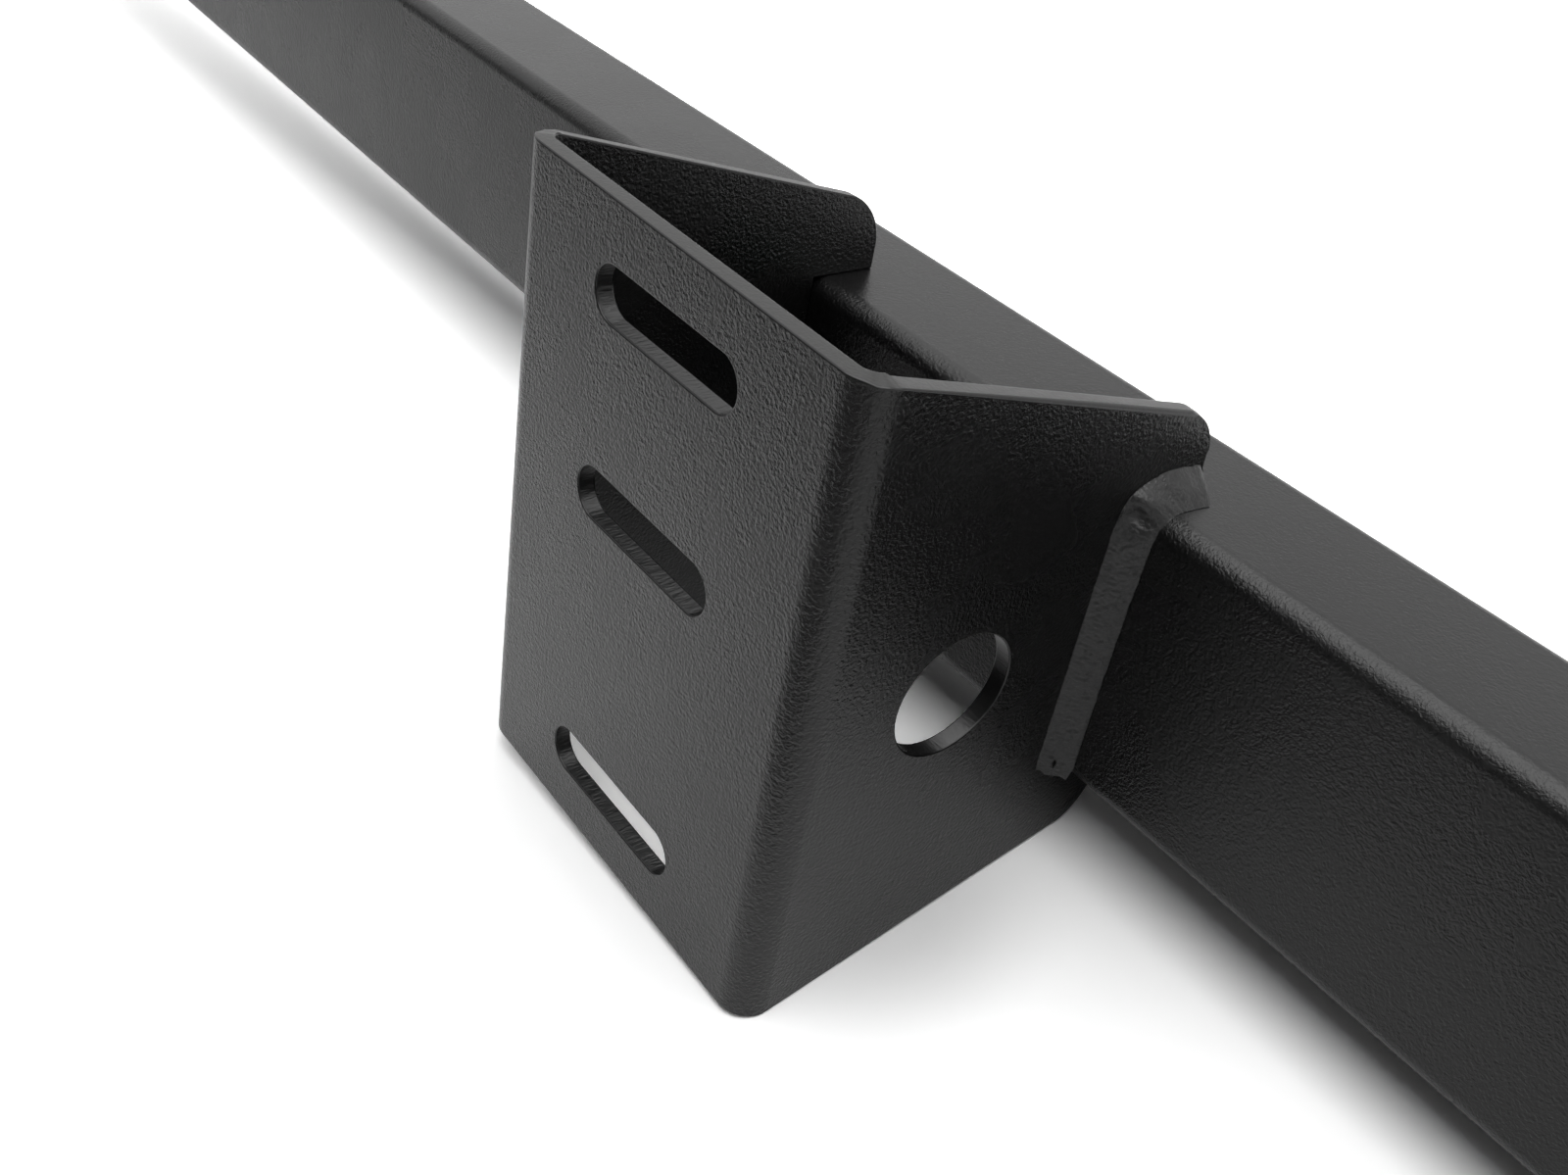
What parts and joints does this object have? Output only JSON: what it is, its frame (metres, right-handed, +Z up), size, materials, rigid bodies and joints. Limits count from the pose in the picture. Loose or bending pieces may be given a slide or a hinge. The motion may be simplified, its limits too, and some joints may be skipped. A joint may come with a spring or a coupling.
{
  "type": "roof rack crossbar",
  "caption": "Rectangular steel crossbar on edge with slotted, folded plate brackets welded to its front for bolting to a roof rack.",
  "frame": {"origin": "middle of the four outer slots, on the front faces of the brackets' plates", "axes": "+X along the bar, -Y out of the brackets' slotted plates, +Z up, along the tube's long side"},
  "size_m": [1.255, 0.087, 0.11],
  "materials": {
    "coated_steel": "fine textured black powder coat, satin",
    "coated_weld": "black powder coat over weld beads, satin",
    "cap_plastic": "plain black plastic, matte"
  },
  "bodies": {
    "root": {"crossbar_tube": "coated_steel", "left_bracket": "coated_steel", "right_bracket": "coated_steel", "right_outer_front_weld": "coated_weld", "right_inner_front_weld": "coated_weld", "left_outer_front_weld": "coated_weld", "left_inner_front_weld": "coated_weld", "right_outer_top_weld": "coated_weld", "right_inner_top_weld": "coated_weld", "left_outer_top_weld": "coated_weld", "left_inner_top_weld": "coated_weld", "left_end_cap": "cap_plastic", "right_end_cap": "cap_plastic"}
  },
  "joints": []
}
